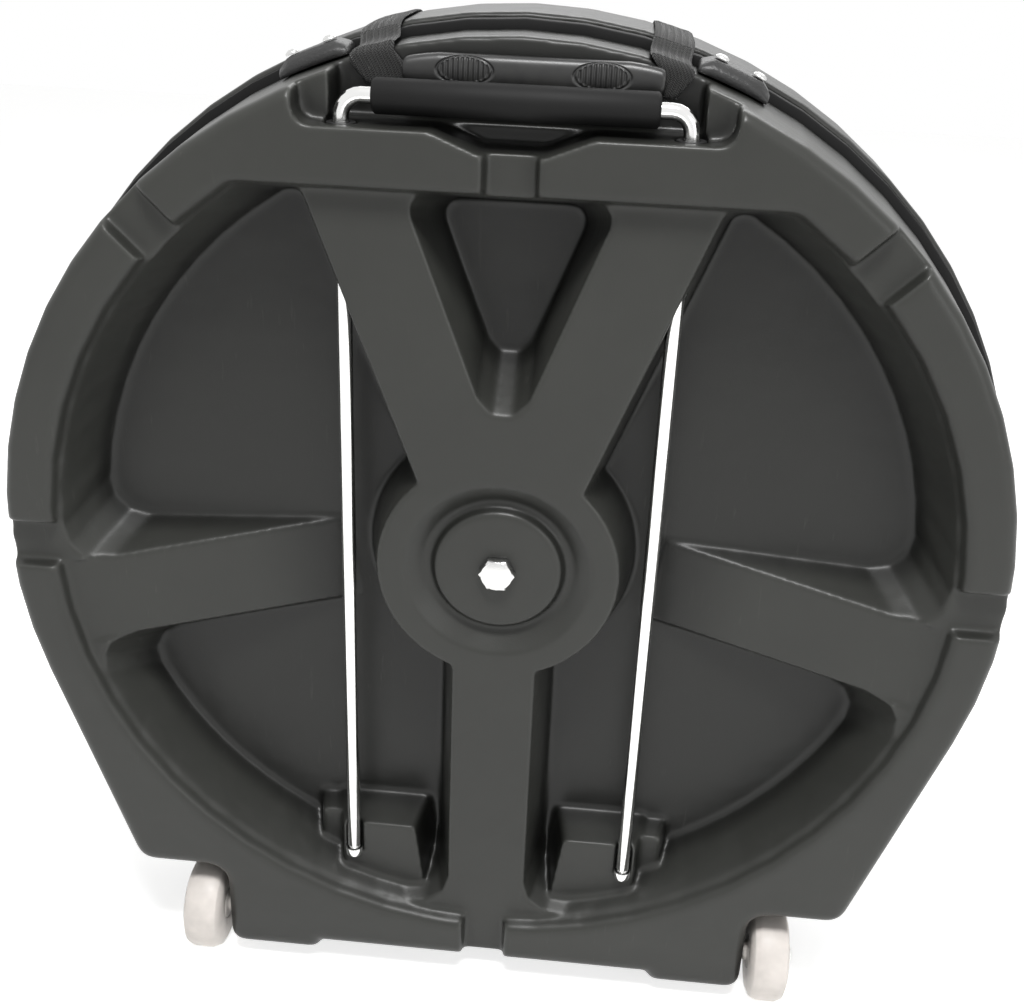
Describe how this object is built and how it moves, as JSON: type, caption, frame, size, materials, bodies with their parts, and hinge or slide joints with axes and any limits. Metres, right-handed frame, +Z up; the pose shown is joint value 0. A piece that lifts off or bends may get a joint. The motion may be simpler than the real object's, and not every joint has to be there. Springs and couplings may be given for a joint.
{
  "type": "cymbal flight case",
  "caption": "Round moulded case for cymbals that stands on its edge, with a lift-off strapped lid, a pull-out handle, a carrying grip and wheels.",
  "frame": {"origin": "middle of the footprint of the standing case, on the ground", "axes": "+Z up, +Y from the ribbed front face through the case to the lid, +X to the right seen from the front"},
  "size_m": [0.664, 0.196, 0.6715],
  "materials": {
    "moulded_black": "moulded polyethylene with a fine grain",
    "moulded_black_lid": "moulded polyethylene with a fine grain",
    "cast_black": "grained black nylon",
    "black_rubber": "smooth black rubber",
    "chrome_tube": "bright chrome plate",
    "bright_steel": "bright zinc plate",
    "black_webbing": "woven webbing",
    "black_nylon": "smooth black nylon",
    "charcoal_foam": "closed-cell foam",
    "grey_felt": "pressed felt",
    "pale_wheel": "pale grey polyurethane",
    "wheel_core": "grey nylon"
  },
  "bodies": {
    "base": {"base_shell": "moulded_black", "post_bolt": "bright_steel", "clamp_washer": "bright_steel", "clamp_nut": "bright_steel", "post_sleeve": "black_nylon", "lower_felt": "grey_felt", "base_foam": "charcoal_foam", "rim_seal": "black_rubber", "root_plate_bottom": "bright_steel", "guide_bush_left": "black_nylon", "axle_bolt_left": "bright_steel", "axle_washer_left": "bright_steel", "axle_nut_left": "bright_steel", "strap_anchor_left": "cast_black", "anchor_rivet_left_inner": "bright_steel", "anchor_rivet_left_outer": "bright_steel", "guide_bush_right": "black_nylon", "axle_bolt_right": "bright_steel", "axle_washer_right": "bright_steel", "axle_nut_right": "bright_steel", "strap_anchor_right": "cast_black", "anchor_rivet_right_inner": "bright_steel", "anchor_rivet_right_outer": "bright_steel", "band_root_left": "black_webbing", "band_root_right": "black_webbing", "band_root_bottom": "black_webbing"},
    "lid": {"lid_shell": "moulded_black_lid", "lid_foam": "charcoal_foam", "lid_lining": "charcoal_foam", "closure_strap_left": "black_webbing", "buckle_plug_left": "black_nylon", "buckle_socket_left": "black_nylon", "lid_strap_left": "black_webbing", "strap_plate_left": "bright_steel", "closure_strap_right": "black_webbing", "buckle_plug_right": "black_nylon", "buckle_socket_right": "black_nylon", "lid_strap_right": "black_webbing", "strap_plate_right": "bright_steel", "closure_strap_bottom": "black_webbing", "buckle_plug_bottom": "black_nylon", "buckle_socket_bottom": "black_nylon", "lid_strap_bottom": "black_webbing", "strap_plate_bottom": "bright_steel"},
    "pull_handle": {"pull_tube": "chrome_tube", "pull_grip": "black_rubber", "rod_collar_left": "chrome_tube", "rod_collar_right": "chrome_tube"},
    "carry_handle": {"carry_grip": "black_rubber", "carry_band_left": "black_webbing", "carry_band_right": "black_webbing"},
    "wheel_left": {"wheel_left": "pale_wheel", "wheel_core_left": "wheel_core"},
    "wheel_right": {"wheel_right": "pale_wheel", "wheel_core_right": "wheel_core"},
    "post_felt": {"upper_felt": "grey_felt"},
    "wing_nut": {"wing_nut": "bright_steel"}
  },
  "joints": [
    {"name": "pull_handle_slide", "type": "slide", "parent": "base", "child": "pull_handle", "axis": [0, 0, 1], "range_m": [0, 0.38]},
    {"name": "carry_handle_swing", "type": "hinge", "parent": "base", "child": "carry_handle", "pos_m": [0, -0.04, 0.651], "axis": [-1, 0, 0], "range_deg": [0, 100]},
    {"name": "wheel_left_spin", "type": "hinge", "parent": "base", "child": "wheel_left", "pos_m": [-0.2085, -0.064, 0.034], "axis": [1, 0, 0], "continuous": true},
    {"name": "wheel_right_spin", "type": "hinge", "parent": "base", "child": "wheel_right", "pos_m": [0.2085, -0.064, 0.034], "axis": [1, 0, 0], "continuous": true},
    {"name": "lid_lift_off", "type": "slide", "parent": "base", "child": "lid", "axis": [0, 1, 0], "range_m": [0, 0.25]},
    {"name": "post_felt_travel", "type": "slide", "parent": "base", "child": "post_felt", "axis": [0, 1, 0], "range_m": [0, 0.0101]},
    {"name": "wing_nut_turn", "type": "hinge", "parent": "post_felt", "child": "wing_nut", "pos_m": [0, 0.046, 0.3395], "axis": [0, 1, 0], "range_deg": [0, 2880]}
  ],
  "couplings": [
    {"joint": "post_felt_travel", "follows": "wing_nut_turn", "m_per_rad": 0.00019894}
  ]
}
